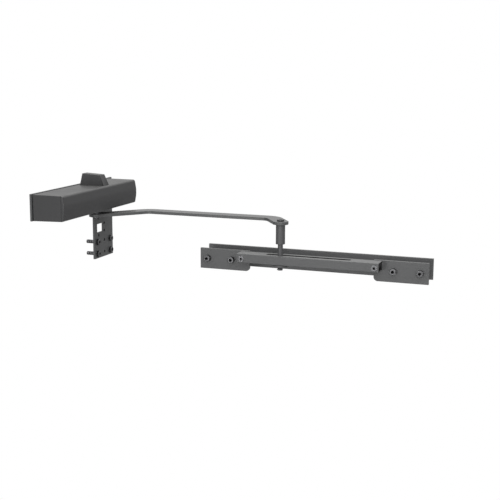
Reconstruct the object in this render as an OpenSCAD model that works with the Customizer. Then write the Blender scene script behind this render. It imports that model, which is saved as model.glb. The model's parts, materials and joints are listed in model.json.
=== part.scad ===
// Overhead closer for a swing gate: a spring and oil closer on an L-shaped plate,
// a cranked arm, and a pin that runs in a slotted rail on the gate's frame.
// Origin: middle of the post bolts, on the plate's back face.
// +X runs away from the post along the closed gate, +Y away from the opening side, +Z up.

/* [Mounting plate] */
// Thickness of the mounting plate
plate_t = 4; // [3:0.5:6]
// Width of the leg that is bolted to the post
leg_w = 80; // [74:1:110]
// Distance from the post bolts' middle down to the leg's lower edge
leg_drop = 22.5; // [20:0.5:40]
// Sideways distance between the post bolts
post_bolt_dy = 55; // [46:1:58]
// Height between the two rows of post bolts
post_bolt_dz = 25; // [20:1:30]
// Margin of the plate above and below the cover
plate_margin = 0.7; // [0:0.1:6]
// Width of the window in the leg
window_w = 27; // [10:1:32]
// Height of the window in the leg
window_h = 18; // [8:1:30]
// Diameter of the spare fixing holes in the leg
spare_hole_d = 6; // [3:0.5:7]

/* [Post bolts] */
// Thread diameter of the post bolts
post_bolt_d = 8; // [6:1:10]
// Length of thread behind the plate
post_bolt_reach = 21; // [10:1:60]
// Height of the low bolt heads
post_head_h = 5; // [3:0.5:8]

/* [Closer body] */
// Distance from the plate's back face to the pinion axis
pinion_x = 40.2; // [38:0.1:42]
// Distance from the post bolts' middle to the pinion axis
pinion_back = 95.5; // [80:0.5:140]
// Distance from the pinion axis to the near end of the cover
near_len = 183; // [178:1:230]
// Distance from the pinion axis to the far end of the cover
far_len = 116; // [110:1:150]
// Height of the cover's lower back edge above the post bolts' middle
cover_z = 92.1; // [85:0.1:120]
// Height of the cover
cover_h = 49.7; // [49:0.1:56]
// Depth of the cover at its widest
cover_depth = 65.7; // [65:0.1:75]
// Open gap between the plate and the cover
cover_gap = 2.7; // [1:0.1:4]
// Wall of the cover
cover_wall = 1.8; // [1:0.1:2]
// Depth by which the middle of the front stands proud of its edges
cover_bulge = 2.4; // [0.5:0.1:3]
// Height by which the lower face rises towards the front
cover_rise = 1.5; // [0:0.1:1.5]
// Thickness of the end caps
cap_t = 3; // [2:0.5:5]

/* [Pinion hood] */
// Length of the hood's foot across the cover
hood_base_x = 53; // [44:1:53]
// Length of the hood's top across the cover
hood_top_x = 40; // [30:1:42]
// Width of the hood's foot along the cover
hood_base_y = 24; // [22:0.5:34]
// Width of the hood's top along the cover
hood_top_y = 19.5; // [18:0.5:22]
// Height of the hood at its front end
hood_h = 21.2; // [17:0.1:30]
// Height by which the hood's top falls from the plate to the front
hood_fall = 2; // [0:0.1:3]
// Wall of the hood
hood_wall = 1.6; // [1:0.1:1.8]

/* [Cylinder and pinion] */
// Cylinder bore
bore_d = 28; // [27:0.5:30]
// Module of the pinion and the rack
gear_m = 1.25; // [1.2:0.01:1.25]
// Diameter of the pinion's journals
journal_d = 16; // [14:0.5:17]
// Size across the flats of the pinion's square ends
square_w = 12; // [9:0.5:12.5]
// Height of the spare square end above the housing
square_rise = 12; // [8:1:14]
// Length of the piston on the spring side of the pinion
piston_near = 50; // [36:1:60]
// Length of the piston on the oil side of the pinion
piston_far = 42; // [38:1:60]
// Outer diameter of the closing spring
spring_d = 26.5; // [22:0.5:26.5]
// Wire diameter of the closing spring
spring_wire = 5; // [2:0.5:6]
// Diameter of the two regulating valves
valve_d = 6; // [4:0.5:8]

/* [Arm] */
// Width of the arm bar
arm_w = 30; // [24:1:34]
// Thickness of the arm bar
arm_t = 6; // [4:0.5:8]
// Gap between the cover's lower edge and the top of the arm
arm_gap = 8.3; // [6:0.1:14]
// Distance from the pinion axis to the first corner, along the gate
crank_x = 73.5; // [60:0.5:90]
// Distance from the pinion axis to the arm's long run, across the gate
crank_y = 87.8; // [75:0.1:95]
// Length of the arm's long run between its corners
run_len = 271.8; // [220:0.1:320]
// Distance from the second corner to the pivot pin, along the gate
tail_x = 31.7; // [25:0.1:45]
// Distance from the long run to the pivot pin, across the gate
tail_y = 46.8; // [40:0.1:55]
// Bend radius of the arm's centre line
bend_r = 28; // [20:1:30]

/* [Pivot pin] */
// Diameter of the pin's shoulder under the arm
shoulder_d = 18; // [14:0.5:24]
// Length of the shoulder
shoulder_len = 38.6; // [20:0.1:45]
// Diameter of the pin in the slot
pin_d = 10; // [8:0.5:11]
// Diameter of the head on top of the arm
pin_head_d = 14; // [12:0.5:18]
// Height of the head on top of the arm
pin_head_h = 3.5; // [2:0.1:6]
// Diameter of the flanged washer under the rail
flange_d = 30; // [24:1:34]
// Length of the pin below the rail
pin_below = 11.8; // [11:0.1:16]

/* [Guide rail] */
// Length of the guide rail
rail_len = 283; // [250:1:340]
// Depth of the rail in front of the wing plates
rail_w = 30; // [28:1:36]
// Height of the rail
rail_h = 18; // [16:0.5:20]
// Wall of the rail
rail_wall = 2; // [1.5:0.1:2.5]
// Length of the slot
slot_len = 170; // [120:1:200]
// Width of the slot
slot_w = 11; // [10.8:0.1:13]
// Distance from the slot's near end to the pin when the gate is closed
pin_in_slot = 28.5; // [10:0.1:60]
// Distance from the rail's top down from the wing plates' top edge
rail_below_edge = 0.8; // [0:0.1:3]

/* [Gate plates] */
// Depth of the gate frame that the plates clamp
gate_frame_t = 40; // [20:1:60]
// Distance from the post bolts' middle to the gate's front face
gate_face_back = 34.5; // [20:0.5:40]
// Length of one wing plate
wing_len = 105; // [95:1:140]
// Height of the wing plates and the counter plate
wing_h = 41; // [36:1:60]
// Thickness of the wing plates and the counter plate
wing_t = 5; // [4:0.5:8]
// Height of the wing plates' top edge above the post bolts' middle
wing_top_z = 18; // [14:0.1:24]
// Rounding of the wing plates' lower inner corners
wing_r = 8; // [2:0.5:12]
// Height by which the counter plate stands above the wing plates
counter_rise = 1; // [0:0.1:3]
// Distance between the two gate bolts of one plate
gate_bolt_pitch = 51; // [40:1:54]
// Distance from the plate's outer end to its first gate bolt
gate_bolt_end = 16; // [12:0.5:20]
// Thread diameter of the gate bolts
gate_bolt_d = 8; // [6:1:8]

/* [Hidden] */
$fn = 64;

// Clearances
seat = 0.3;            // a part that rests on another without touching it
running = 0.05;        // a shaft in its bearing, on the radius
thread_gap = 0.05;     // a thread in its tapped hole, on the radius
press_gap = 0.05;      // a bearing or a seal in its seat, on the radius
sink_gap = 0.2;        // a countersunk head in its sink, on the radius
shank_step = 0.2;      // a bolt's shank inside its own plate is this much thicker
thread_step = 0.1;     // a bolt's thread under its nut is this much thinner
bolt_gap = 0.5;        // a bolt in a drilled hole, on the radius
eps = 1;               // how far a cut runs past a face

// Colours
steel_dark = "dimgray";
cover_grey = [0.27, 0.27, 0.28];
zinc = "silver";
cast = [0.55, 0.56, 0.58];
rubber_black = [0.08, 0.08, 0.08];
plastic_black = [0.14, 0.14, 0.15];

// Cover outline, in X and Z
cover_x0 = plate_t + cover_gap;
cover_x1 = cover_x0 + cover_depth;
cover_edge_x = cover_x1 - cover_bulge;
cover_top = cover_z + cover_h;
cover_front_z = cover_z + cover_rise;
cover_low_r = 4;
cover_high_r = 5;
mid_face_low = 17;     // the upright middle face starts this far above the lower front edge
mid_face_high = 18.7;  // and ends this far below the top
cover_near = -pinion_back - near_len;
cover_far = -pinion_back + far_len;
pinion_y = -pinion_back;

// Housing
house_x0 = 18;
house_x1 = cover_edge_x - cover_high_r;
house_z0 = cover_front_z + cover_wall + 1.2;
house_z1 = cover_top - cover_wall - seat;
house_h = house_z1 - house_z0;
house_near = cover_near + cap_t + 7.5;
house_far = cover_far - cap_t - 7.5;
axis_z = (house_z0 + house_z1) / 2;
bore_r = bore_d / 2;
plug_r = bore_r + 2;
plug_len = 13;
foot_len = 32;
spring_end_y = house_near + plug_len;
oil_end_y = house_far - plug_len;

// Rack and pinion
teeth = 12;
pressure = 20;
pitch_r = gear_m * teeth / 2;
tooth_pitch = PI * gear_m;
backlash = 0.15;
gear_ra = pitch_r + gear_m;
gear_rf = pitch_r - 1.25 * gear_m;
gear_rb = pitch_r * cos(pressure);
rack_add = 0.7 * gear_m;
rack_ded = 1.25 * gear_m;
arm_swing = 120;
stroke = pitch_r * arm_swing * PI / 180;
piston_r = bore_r - running;
gear_half = sqrt(pow(piston_r, 2) - pow(pitch_r - rack_add, 2)) + seat;
well_side = gear_ra + 0.8;
well_near = pinion_y - gear_ra - 1.2;
well_far = pinion_y + stroke + gear_ra + 1.2;
piston_y0 = pinion_y - piston_near;
piston_y1 = pinion_y + piston_far;
ring_w = 2;
ring_deep = 1.6;
ring_inset = 4;

// Pinion bearings
bearing_r = journal_d / 2 + 5;
bearing_t = 3;
seal_t = 2;
bearing_seat = bearing_t + seal_t;

// Arm
arm_top = cover_z - arm_gap;
arm_low = arm_top - arm_t;
corner_1 = [pinion_x + crank_x, pinion_y + crank_y];
corner_2 = [corner_1[0] + run_len, corner_1[1]];
pin_x = corner_2[0] + tail_x;
pin_y = corner_2[1] - tail_y;
eye_r = arm_w / 2 + 0.3;
arm_screw_d = 8;
arm_screw_head_h = 4.5;

// Gate side
rail_mid = pin_x - pin_in_slot + slot_len / 2;
rail_x0 = rail_mid - rail_len / 2;
rail_x1 = rail_mid + rail_len / 2;
gate_y0 = -gate_face_back;
gate_y1 = gate_y0 + gate_frame_t;
wing_y0 = gate_y0 - wing_t;
rail_y0 = wing_y0 - rail_w;
rail_z1 = wing_top_z - rail_below_edge;
rail_z0 = rail_z1 - rail_h;
rail_cz = (rail_z0 + rail_z1) / 2;
rail_screw_in = 8.5;
rail_screw_d = 6;
rail_screw_z = rail_cz - 1.2;
rail_lap = 2 * rail_screw_in - 1;
wing_in_x0 = rail_x0 + rail_lap;
wing_in_x1 = rail_x1 - rail_lap;
wing_out_x0 = wing_in_x0 - wing_len;
wing_out_x1 = wing_in_x1 + wing_len;
wing_low = wing_top_z - wing_h;
bolt_z = wing_low + wing_h / 2 + 0.5;
gate_bolt_x = [
    wing_out_x0 + gate_bolt_end, wing_out_x0 + gate_bolt_end + gate_bolt_pitch,
    wing_out_x1 - gate_bolt_end - gate_bolt_pitch, wing_out_x1 - gate_bolt_end
];
gate_head_h = gate_bolt_d;
gate_head_r = gate_bolt_d * 0.8125;
counter_y1 = gate_y1 + wing_t;
washer_t = 1.6;
nut_h = gate_bolt_d * 0.8;
bolt_past_nut = 2;

// Pivot pin heights
shoulder_z = arm_low - shoulder_len;
pin_end_z = rail_z0 - pin_below;
flange_z1 = rail_z0 - seat;
flange_rim = 4.2;
flange_cone = 2.4;
cotter_d = 3;
cotter_z = flange_z1 - flange_rim - flange_cone - seat - cotter_d / 2;

// Post bolt places, as [y, z]
post_spots = [for (sy = [-1, 1]) for (sz = [-1, 1]) [sy * post_bolt_dy / 2, sz * post_bolt_dz / 2]];
window_y1 = -1.5;
window_z0 = 32;
spare_y = -22;         // the two spare holes below and above the window stand here
spare_rise = 12;       // from the window's upper edge to the spare hole above it
spare_web = 1;         // metal between the window and the column of spare holes beside it
spare_inset = 1;       // height of the upper two of these holes inside the window's edges
spare_far_y = window_y1 + spare_web + spare_hole_d / 2;
spare_spots = [for (z = [post_bolt_dz / 2, -post_bolt_dz / 2, window_z0 + spare_inset,
                         window_z0 + window_h - spare_inset]) [spare_far_y, z],
               [spare_y, window_z0 - spare_hole_d], [spare_y, window_z0 + window_h + spare_rise]];

// Housing screw places, as [y, z]
foot_mid = foot_len / 2;
foot_screw_dz = house_h / 2 - 8;
foot_screw_d = 6;
sink_h = 3.3;
foot_spots = [for (y = [house_near + foot_mid, house_far - foot_mid])
              for (s = [-1, 1]) [y, axis_z + s * foot_screw_dz]];

// Cover screw places, along Y
cover_screw_x = 30;
cover_screw_d = 4;
boss_z = cover_z + cover_wall + seat
    + cover_rise * (cover_screw_x + cover_screw_d - cover_x0) / (cover_edge_x - cover_low_r - cover_x0);
cover_screw_y = [house_near + foot_mid, house_far - foot_mid];

// Arc of a circle as a list of points
function arc(cx, cy, r, a0, a1, steps) =
    [for (i = [0 : steps]) [cx + r * cos(a0 + (a1 - a0) * i / steps),
                            cy + r * sin(a0 + (a1 - a0) * i / steps)]];

// Outline of the cover, drawn in by a wall on every side
function cover_outline(t) =
    let (xe = cover_edge_x - t, lo = cover_low_r - min(t, 3), hi = cover_high_r - t,
         zf = cover_front_z + t, zt = cover_top - t)
    concat([[cover_x0, cover_z + t]],
           arc(xe - lo, zf + lo, lo, -90, 0, 6),
           [[xe + cover_bulge, zf + mid_face_low], [xe + cover_bulge, zt - mid_face_high]],
           arc(xe - hi, zt - hi, hi, 0, 90, 8),
           [[cover_x0, zt]]);

// A cylinder along X, from x0 to x1
module bar_x(r, x0, x1, y, z) {
    translate([x0, y, z]) rotate([0, 90, 0]) cylinder(r = r, h = x1 - x0);
}

// A cylinder along Y, from y0 to y1
module bar_y(r, x, y0, y1, z) {
    translate([x, y1, z]) rotate([90, 0, 0]) cylinder(r = r, h = y1 - y0);
}

// A cylinder along Z, from z0 to z1
module bar_z(r, x, y, z0, z1) {
    translate([x, y, z0]) cylinder(r = r, h = z1 - z0);
}

// A flat outline in X and Z, made solid from y0 to y1
module slab_y(points, y0, y1) {
    translate([0, y1, 0]) rotate([90, 0, 0]) linear_extrude(y1 - y0) polygon(points);
}

// A ring along Y
module ring_y(r1, r0, x, y0, y1, z) {
    difference() {
        bar_y(r1, x, y0, y1, z);
        bar_y(r0, x, y0 - eps, y1 + eps, z);
    }
}

// A hexagon socket, sunk along +Z from the origin
module hex_socket(flats, deep) {
    translate([0, 0, -eps]) cylinder(r = flats / 2 / cos(30), h = deep + eps, $fn = 6);
}

module mounting_plate() {
    upper_z0 = cover_z - plate_margin;
    upper_z1 = cover_top + plate_margin;
    color(steel_dark) difference() {
        union() {
            translate([0, cover_near, upper_z0])
                cube([plate_t, leg_w / 2 - cover_near, upper_z1 - upper_z0]);
            translate([0, -leg_w / 2, -leg_drop])
                cube([plate_t, leg_w, leg_drop + upper_z0 + eps]);
        }
        for (p = post_spots)
            bar_x(post_bolt_d / 2 + bolt_gap, -eps, plate_t + eps, p[0], p[1]);
        for (p = spare_spots)
            bar_x(spare_hole_d / 2, -eps, plate_t + eps, p[0], p[1]);
        translate([-eps, window_y1 - window_w, window_z0])
            cube([plate_t + 2 * eps, window_w, window_h]);
        for (p = foot_spots) {
            bar_x(foot_screw_d / 2 + thread_gap, -eps, plate_t + eps, p[0], p[1]);
            translate([-0.01, p[0], p[1]]) rotate([0, 90, 0])
                cylinder(r1 = foot_screw_d + sink_gap, r2 = foot_screw_d / 2 + sink_gap, h = sink_h);
        }
    }
}

module post_bolts() {
    color(zinc) for (p = post_spots) difference() {
        union() {
            bar_x(post_bolt_d / 2, -post_bolt_reach, plate_t, p[0], p[1]);
            bar_x(post_bolt_d / 2 + shank_step, 0, plate_t + eps, p[0], p[1]);
            bar_x(post_bolt_d * 0.8125, plate_t, plate_t + post_head_h, p[0], p[1]);
        }
        translate([plate_t + post_head_h, p[0], p[1]]) rotate([0, -90, 0])
            hex_socket(post_bolt_d * 0.625, post_head_h * 0.6);
    }
}

module housing() {
    color(cast) difference() {
        union() {
            translate([house_x0, house_near, house_z0])
                cube([house_x1 - house_x0, house_far - house_near, house_h]);
            for (y = [house_near, house_far - foot_len])
                translate([plate_t, y, house_z0]) cube([house_x0 - plate_t + eps, foot_len, house_h]);
            for (y = cover_screw_y)
                bar_z(cover_screw_d, cover_screw_x, y, boss_z, house_z0 + eps);
        }
        bar_y(bore_r, pinion_x, house_near - eps, house_far + eps, axis_z);
        bar_y(plug_r + thread_gap, pinion_x, house_near - eps, spring_end_y, axis_z);
        bar_y(plug_r + thread_gap, pinion_x, oil_end_y, house_far + eps, axis_z);
        bar_z(gear_ra + 0.3, pinion_x, pinion_y, house_z0 - eps, house_z1 + eps);
        bar_z(bearing_r, pinion_x, pinion_y, house_z1 - bearing_seat, house_z1 + eps);
        bar_z(bearing_r, pinion_x, pinion_y, house_z0 - eps, house_z0 + bearing_seat);
        for (p = foot_spots)
            bar_x(foot_screw_d / 2 + thread_gap, plate_t - eps, house_x0 + 0.8, p[0], p[1]);
        for (y = cover_screw_y)
            bar_z(cover_screw_d / 2 + thread_gap, cover_screw_x, y, house_z0 - 2 * eps, house_z0 + 6.5);
        for (z = valve_z)
            bar_y(valve_d / 2 + running, valve_x, house_far - valve_len - seat, house_far + eps, z);
    }
}

valve_x = house_x0 + valve_d / 2 + 2.2;
valve_len = 24;
valve_z = [axis_z - 13.5, axis_z + 13.5];

module housing_screws() {
    color(zinc) for (p = foot_spots) difference() {
        union() {
            bar_x(foot_screw_d / 2, 0, house_x0, p[0], p[1]);
            translate([0, p[0], p[1]]) rotate([0, 90, 0])
                cylinder(r1 = foot_screw_d, r2 = foot_screw_d / 2, h = sink_h);
        }
        translate([0, p[0], p[1]]) rotate([0, 90, 0]) hex_socket(4, 2.2);
    }
}

// A screwed plug that closes the cylinder, with a groove for its seal
module end_plug(y_out, y_in) {
    s = sign(y_in - y_out);
    difference() {
        bar_y(plug_r, pinion_x, min(y_out, y_in), max(y_out, y_in), axis_z);
        ring_y(plug_r + eps, plug_r - ring_deep, pinion_x,
               min(y_in - s * 3, y_in - s * (3 + ring_w)), max(y_in - s * 3, y_in - s * (3 + ring_w)), axis_z);
        translate([pinion_x, y_out, axis_z]) rotate([-90 * s, 0, 0]) hex_socket(12, 6);
    }
}

module spring_end_plug() {
    color(zinc) end_plug(house_near, spring_end_y);
}

module valve_end_plug() {
    color(zinc) end_plug(house_far, oil_end_y);
}

module plug_seals() {
    color(rubber_black) for (y = [spring_end_y - 3 - ring_w, oil_end_y + 3])
        ring_y(plug_r - press_gap, plug_r - ring_deep + 0.1, pinion_x, y + 0.1, y + ring_w - 0.1, axis_z);
}

// A plain bearing ring on the pinion
module bearing(z0) {
    difference() {
        bar_z(bearing_r - press_gap, pinion_x, pinion_y, z0, z0 + bearing_t);
        bar_z(journal_d / 2 + running, pinion_x, pinion_y, z0 - eps, z0 + bearing_t + eps);
    }
}

module upper_bearing() {
    color(zinc) bearing(house_z1 - bearing_seat);
}

module lower_bearing() {
    color(zinc) bearing(house_z0 + seal_t);
}

module shaft_seals() {
    color(rubber_black) for (z = [house_z0, house_z1 - seal_t]) difference() {
        bar_z(bearing_r - press_gap, pinion_x, pinion_y, z, z + seal_t);
        bar_z(journal_d / 2 + running, pinion_x, pinion_y, z - eps, z + seal_t + eps);
    }
}

// The closing spring's tube, from the end plug to the piston
module closing_spring() {
    color(zinc) ring_y(spring_d / 2, spring_d / 2 - spring_wire, pinion_x,
                       spring_end_y + seat, piston_y0 - seat, axis_z);
}

module cover() {
    y0 = cover_near + cap_t;
    y1 = cover_far - cap_t;
    color(cover_grey) difference() {
        slab_y(cover_outline(0), y0, y1);
        slab_y(concat([[cover_x0 - eps, cover_z + cover_wall]], cover_outline(cover_wall),
                      [[cover_x0 - eps, cover_top - cover_wall]]), y0 - eps, y1 + eps);
        bar_z(journal_d / 2 + 1.2, pinion_x, pinion_y, cover_z - eps, cover_front_z + cover_wall + eps);
        bar_z(journal_d / 2 + 0.6, pinion_x, pinion_y, cover_top - cover_wall - eps, cover_top + eps);
        for (y = cover_screw_y)
            bar_z(cover_screw_d / 2 + 0.2, cover_screw_x, y, cover_z - eps, cover_front_z + cover_wall + eps);
    }
}

// An end cap with a lip that fits inside the cover
module end_cap(y_out, y_in) {
    s = sign(y_in - y_out);
    lip = 4;
    slab_y(cover_outline(0), min(y_out, y_in), max(y_out, y_in));
    difference() {
        slab_y(cover_outline(cover_wall + 0.1), min(y_in - s * eps, y_in + s * lip), max(y_in - s * eps, y_in + s * lip));
        slab_y(concat([[cover_x0 - eps, cover_z + 2 * cover_wall]], cover_outline(2 * cover_wall),
                      [[cover_x0 - eps, cover_top - 2 * cover_wall]]),
               min(y_in, y_in + s * (lip + eps)), max(y_in, y_in + s * (lip + eps)));
    }
}

module near_end_cap() {
    color(cover_grey) end_cap(cover_near, cover_near + cap_t);
}

module far_end_cap() {
    color(cover_grey) end_cap(cover_far, cover_far - cap_t);
}

module cover_screws() {
    head_h = 2.2;
    color(zinc) for (y = cover_screw_y) difference() {
        union() {
            bar_z(cover_screw_d / 2, cover_screw_x, y, cover_z - eps, house_z0 + 6);
            bar_z(cover_screw_d, cover_screw_x, y, cover_z - head_h, cover_z);
        }
        translate([cover_screw_x, y, cover_z - head_h]) hex_socket(2.5, 1.4);
    }
}

// A block that narrows towards its top, centred over the pinion
module hood_block(bx, tx, by, ty, z0, h) {
    mid_x = cover_x0 + 3.3 + hood_base_x / 2;
    lean = 2;
    crest = h + hood_fall;
    crest_y = by + (ty - by) * crest / h;
    intersection() {
        slab_y([[mid_x - bx / 2, z0], [mid_x + bx / 2, z0],
                [mid_x - lean + tx / 2, z0 + h], [mid_x - lean - tx / 2, z0 + crest]],
               pinion_y - by, pinion_y + by);
        translate([mid_x - bx, pinion_y, z0]) rotate([90, 0, 90]) linear_extrude(2 * bx)
            polygon([[-by / 2, 0], [by / 2, 0], [crest_y / 2, crest], [-crest_y / 2, crest]]);
    }
}

module pinion_hood() {
    w = 2 * hood_wall;
    color(cover_grey) difference() {
        hood_block(hood_base_x, hood_top_x, hood_base_y, hood_top_y, cover_top, hood_h);
        hood_block(hood_base_x - w, hood_top_x - w, hood_base_y - w, hood_top_y - w,
                   cover_top - 0.01, hood_h - hood_wall);
    }
}

// A regulating valve in the oil end of the housing
module valve(z) {
    color(zinc) difference() {
        union() {
            bar_y(valve_d / 2, valve_x, house_far - valve_len / 2, house_far, z);
            bar_y(valve_d / 4, valve_x, house_far - valve_len, house_far - valve_len / 2 + eps, z);
        }
        translate([valve_x - valve_d / 2 - eps, house_far - 1.2, z - 0.5]) cube([valve_d + 2 * eps, 1.2 + eps, 1]);
    }
}

module closing_valve() {
    valve(valve_z[0]);
}

module latch_valve() {
    valve(valve_z[1]);
}

// Half the angle that a pinion tooth takes at radius r
function involute(a) = tan(a) * 180 / PI - a;
function tooth_half(r) =
    (tooth_pitch / 2 - backlash) / (2 * pitch_r) * 180 / PI + involute(pressure) - involute(acos(gear_rb / r));

// Outline of one pinion tooth, from root to tip and back
function tooth(a) =
    let (rs = [for (i = [0 : 5]) gear_rb + (gear_ra - gear_rb) * i / 5])
    concat([[gear_rf * cos(a - tooth_half(gear_rb)), gear_rf * sin(a - tooth_half(gear_rb))]],
           [for (r = rs) [r * cos(a - tooth_half(r)), r * sin(a - tooth_half(r))]],
           [for (i = [5 : -1 : 0]) let (r = rs[i]) [r * cos(a + tooth_half(r)), r * sin(a + tooth_half(r))]],
           [[gear_rf * cos(a + tooth_half(gear_rb)), gear_rf * sin(a + tooth_half(gear_rb))]]);

// A square shaft end with its corners turned down to the journal
module square_end(z0, z1) {
    intersection() {
        translate([pinion_x - square_w / 2, pinion_y - square_w / 2, z0]) cube([square_w, square_w, z1 - z0]);
        bar_z(journal_d / 2, pinion_x, pinion_y, z0 - eps, z1 + eps);
    }
}

module pinion_shaft() {
    gear_z0 = axis_z - gear_half;
    tap = arm_screw_d / 2 + thread_gap;
    color(cast) difference() {
        union() {
            translate([pinion_x, pinion_y, gear_z0]) linear_extrude(2 * gear_half)
                polygon([for (k = [0 : teeth - 1]) each tooth(k * 360 / teeth)]);
            bar_z(gear_rf, pinion_x, pinion_y, gear_z0 - eps, gear_z0 + 2 * gear_half + eps);
            bar_z(journal_d / 2, pinion_x, pinion_y, arm_top, gear_z0);
            bar_z(journal_d / 2, pinion_x, pinion_y, gear_z0 + 2 * gear_half, house_z1);
            square_end(arm_low + seat, arm_top + eps);
            square_end(house_z1 - eps, house_z1 + square_rise);
        }
        bar_z(tap, pinion_x, pinion_y, arm_low - eps, arm_top + 14);
        bar_z(tap, pinion_x, pinion_y, house_z1 + square_rise - 10, house_z1 + square_rise + eps);
    }
}

// Centre line of the arm, with a true arc at each corner
function bend(p, a, b, r) =
    let (u = (a - p) / norm(a - p), v = (b - p) / norm(b - p),
         half = acos(u * v) / 2, c = p + (u + v) / norm(u + v) * r / sin(half),
         p0 = p + u * r / tan(half), p1 = p + v * r / tan(half),
         a0 = atan2(p0[1] - c[1], p0[0] - c[0]), a1 = atan2(p1[1] - c[1], p1[0] - c[0]),
         turn = a1 - a0 > 180 ? a1 - a0 - 360 : a1 - a0 < -180 ? a1 - a0 + 360 : a1 - a0)
    [for (i = [0 : 12]) [c[0] + r * cos(a0 + turn * i / 12), c[1] + r * sin(a0 + turn * i / 12)]];

arm_line = concat([[pinion_x, pinion_y]], bend(corner_1, [pinion_x, pinion_y], corner_2, bend_r),
                  bend(corner_2, corner_1, [pin_x, pin_y], bend_r), [[pin_x, pin_y]]);

// The direction of the centre line at point i, square to it
function side_way(i) =
    let (n = len(arm_line) - 1, a = arm_line[max(i - 1, 0)], b = arm_line[min(i + 1, n)],
         d = (b - a) / norm(b - a))
    [-d[1], d[0]];

module arm_bar() {
    last = len(arm_line) - 1;
    color(steel_dark) difference() {
        union() {
            translate([0, 0, arm_low]) linear_extrude(arm_t)
                polygon(concat([for (i = [0 : last]) arm_line[i] + side_way(i) * arm_w / 2],
                               [for (i = [last : -1 : 0]) arm_line[i] - side_way(i) * arm_w / 2]));
            bar_z(eye_r, pinion_x, pinion_y, arm_low, arm_top);
            bar_z(eye_r, pin_x, pin_y, arm_low, arm_top);
        }
        translate([pinion_x, pinion_y, arm_low - eps]) intersection() {
            translate([-square_w / 2 - 0.1, -square_w / 2 - 0.1, 0])
                cube([square_w + 0.2, square_w + 0.2, arm_t + 2 * eps]);
            cylinder(r = journal_d / 2 + 0.1, h = arm_t + 2 * eps);
        }
        bar_z(arm_screw_d / 2 + 0.1, pin_x, pin_y, arm_low - eps, arm_top + eps);
    }
}

module arm_washer() {
    color(zinc) difference() {
        bar_z(arm_screw_d + 1.2, pinion_x, pinion_y, arm_low - washer_t, arm_low);
        bar_z(arm_screw_d / 2 + 0.2, pinion_x, pinion_y, arm_low - washer_t - eps, arm_low + eps);
    }
}

module arm_screw() {
    z = arm_low - washer_t;
    color(zinc) difference() {
        union() {
            bar_z(arm_screw_d / 2, pinion_x, pinion_y, z - eps, arm_top + 12);
            bar_z(arm_screw_d * 0.72, pinion_x, pinion_y, z - arm_screw_head_h + washer_t, z);
        }
        translate([pinion_x, pinion_y, z - arm_screw_head_h + washer_t]) hex_socket(5, 1.8);
    }
}

module pivot_pin() {
    color(steel_dark) difference() {
        union() {
            bar_z(shoulder_d / 2, pin_x, pin_y, shoulder_z, arm_low);
            bar_z(pin_d / 2, pin_x, pin_y, pin_end_z, shoulder_z + eps);
        }
        bar_z(arm_screw_d / 2 + thread_gap, pin_x, pin_y, arm_low - 16, arm_low + eps);
        bar_y(cotter_d / 2 + 0.1, pin_x, pin_y - pin_d, pin_y + pin_d, cotter_z);
    }
}

module pin_screw() {
    color(steel_dark) difference() {
        union() {
            bar_z(arm_screw_d / 2, pin_x, pin_y, arm_low - 14, arm_top + eps);
            bar_z(pin_head_d / 2, pin_x, pin_y, arm_top, arm_top + pin_head_h);
        }
        translate([pin_x, pin_y, arm_top + pin_head_h]) rotate([180, 0, 0]) hex_socket(5, 2);
    }
}

module flange_washer() {
    z2 = flange_z1 - flange_rim;
    color(steel_dark) translate([pin_x, pin_y, 0]) rotate_extrude()
        polygon([[pin_d / 2 + 0.1, flange_z1], [flange_d / 2, flange_z1], [flange_d / 2, z2],
                 [pin_d / 2 + 3.5, z2 - flange_cone], [pin_d / 2 + 0.1, z2 - flange_cone]]);
}

// A split pin: its round eye stands in front of the pivot pin
module split_pin() {
    eye = cotter_d * 0.9;
    y_eye = pin_y - pin_d / 2 - eye - cotter_d / 3;
    color(zinc) {
        bar_y(cotter_d / 2, pin_x, pin_y - pin_d / 2 - 1.2, pin_y + pin_d / 2 + 4, cotter_z);
        translate([pin_x, y_eye, cotter_z]) rotate_extrude()
            translate([eye, 0]) circle(r = cotter_d / 3.4);
    }
}

// The rack's outline along the cylinder, cut into the side of the piston's well
function rack_tooth(y) =
    let (x = pinion_x + pitch_r, w = (tooth_pitch / 2 - backlash) / 2, k = tan(pressure))
    [[x + rack_ded, y - w - rack_ded * k], [x - rack_add, y - w + rack_add * k],
     [x - rack_add, y + w - rack_add * k], [x + rack_ded, y + w + rack_ded * k]];

module piston() {
    x0 = pinion_x - well_side;
    count_near = floor((pinion_y - well_near) / tooth_pitch) - 1;
    count_far = floor((well_far - pinion_y) / tooth_pitch) - 1;
    teeth_points = [for (k = [-count_near : count_far]) each rack_tooth(pinion_y + (k + 0.5) * tooth_pitch)];
    color(cast) difference() {
        bar_y(piston_r, pinion_x, piston_y0, piston_y1, axis_z);
        translate([0, 0, axis_z - bore_r]) linear_extrude(bore_d)
            polygon(concat([[x0, well_near], [pinion_x + pitch_r + rack_ded, well_near]], teeth_points,
                           [[pinion_x + pitch_r + rack_ded, well_far], [x0, well_far]]));
        for (y = seal_spots)
            ring_y(piston_r + eps, piston_r - ring_deep, pinion_x, y, y + ring_w, axis_z);
        bar_y(check_r + thread_gap, pinion_x, piston_y1 - check_len, piston_y1 + eps, axis_z);
        bar_y(1.5, pinion_x, well_far - eps, piston_y1, axis_z);
    }
}

seal_spots = [piston_y0 + ring_inset, piston_y1 - ring_inset - ring_w];
check_r = 4;
check_len = 8;

module piston_seals() {
    color(rubber_black) for (y = seal_spots)
        ring_y(piston_r, piston_r - ring_deep + 0.1, pinion_x, y + 0.1, y + ring_w - 0.1, axis_z);
}

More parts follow.
